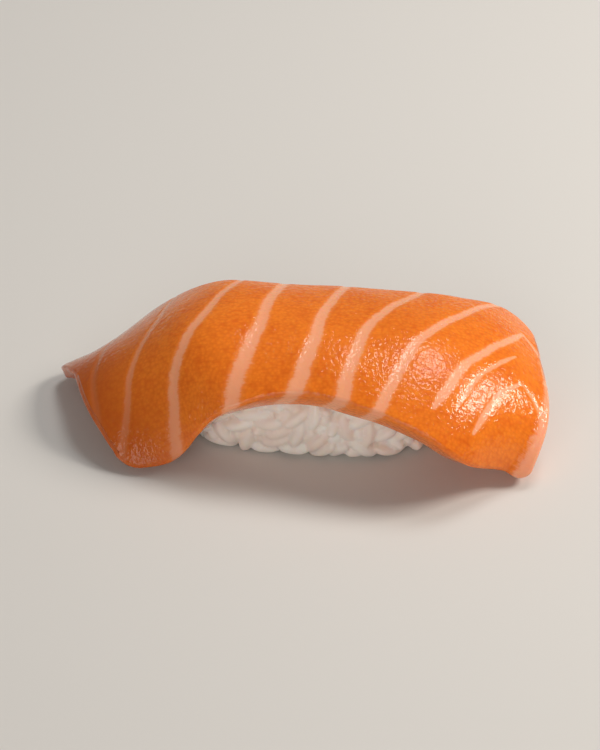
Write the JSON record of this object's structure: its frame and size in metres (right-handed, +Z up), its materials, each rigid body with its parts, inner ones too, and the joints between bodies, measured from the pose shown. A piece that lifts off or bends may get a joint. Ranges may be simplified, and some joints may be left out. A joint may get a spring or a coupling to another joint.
{
  "type": "salmon nigiri",
  "caption": "Slice of raw salmon with pale fat lines, draped over a hand-pressed finger of vinegared rice and resting flat.",
  "frame": {"origin": "under the middle of the whole, on the surface that the rice stands on", "axes": "+X along the slice towards its thick, rounded end; -Y the near side, where the rice shows; +Z up"},
  "size_m": [0.0828, 0.0366, 0.0205],
  "materials": {
    "salmon": null,
    "rice": null
  },
  "bodies": {
    "root": {"rice": "rice", "salmon": "salmon"}
  },
  "joints": []
}
